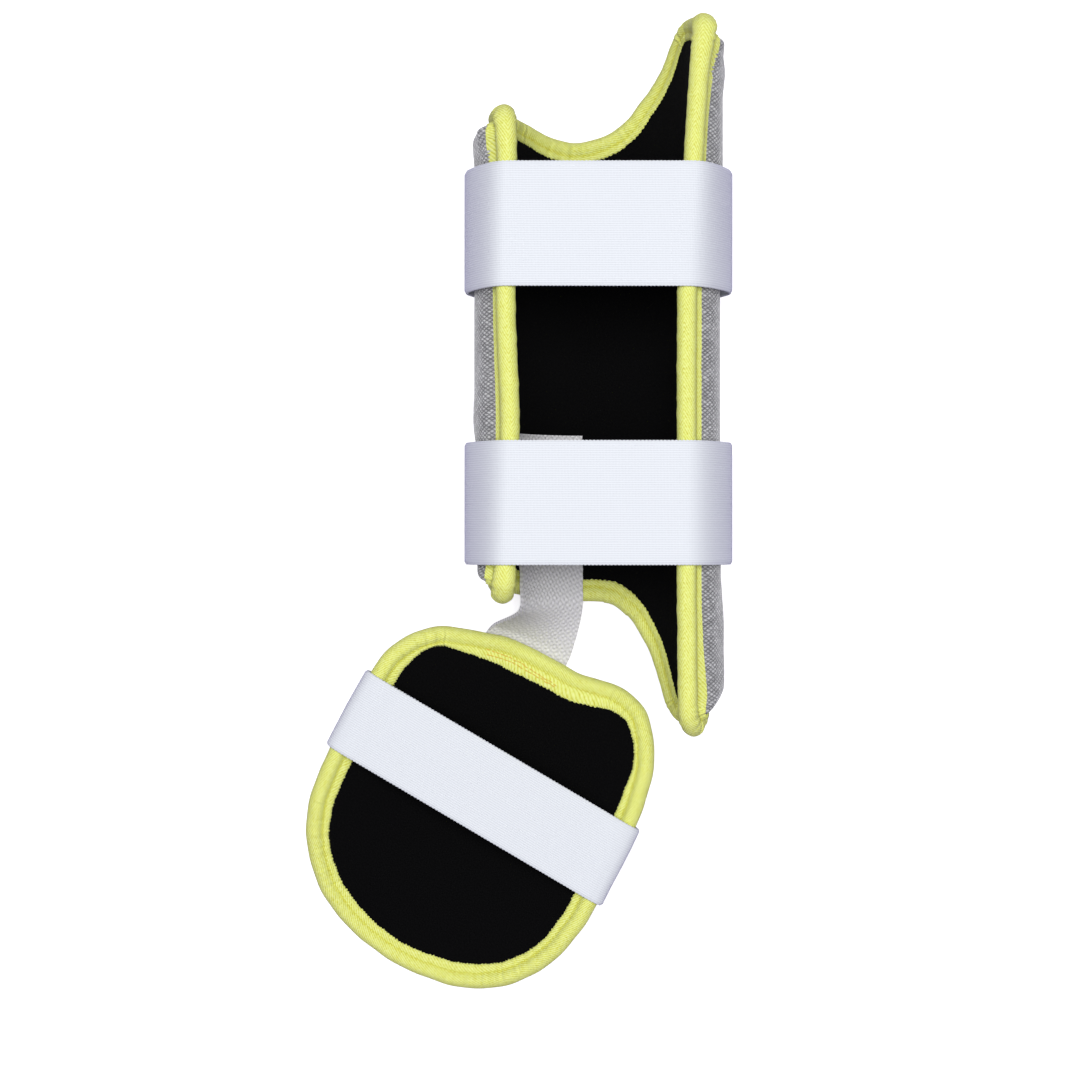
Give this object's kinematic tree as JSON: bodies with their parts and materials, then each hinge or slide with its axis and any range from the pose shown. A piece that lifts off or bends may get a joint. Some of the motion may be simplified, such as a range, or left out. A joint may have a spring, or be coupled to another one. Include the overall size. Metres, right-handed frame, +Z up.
{
  "type": "batters foot guard",
  "caption": "Padded shin shell, open at the back and held by wide elastic bands, with a rounded foot pad linked below it by webbing, that guards a batter's leg and foot.",
  "frame": {"origin": "middle of the guard's outline on the floor, lying on its front with the open back up", "axes": "+Y up the leg, towards the knee; +Z up from the floor, out of the open back; +X across, to the shell's longer side"},
  "size_m": [0.2154, 0.4948, 0.0961],
  "materials": {
    "cover_cloth": "silver-grey basket weave over foam",
    "lining_pile": "matte black short pile",
    "binding_tape": "lime-yellow twill tape",
    "elastic": "white ribbed elastic",
    "webbing": "light grey dotted weave"
  },
  "bodies": {
    "root": {"shin_cover": "cover_cloth", "shin_lining": "lining_pile", "shin_binding": "binding_tape", "upper_strap": "elastic", "lower_strap": "elastic", "link_webbing": "webbing", "foot_cover": "cover_cloth", "foot_lining": "lining_pile", "foot_binding": "binding_tape", "foot_strap": "elastic"}
  },
  "joints": []
}
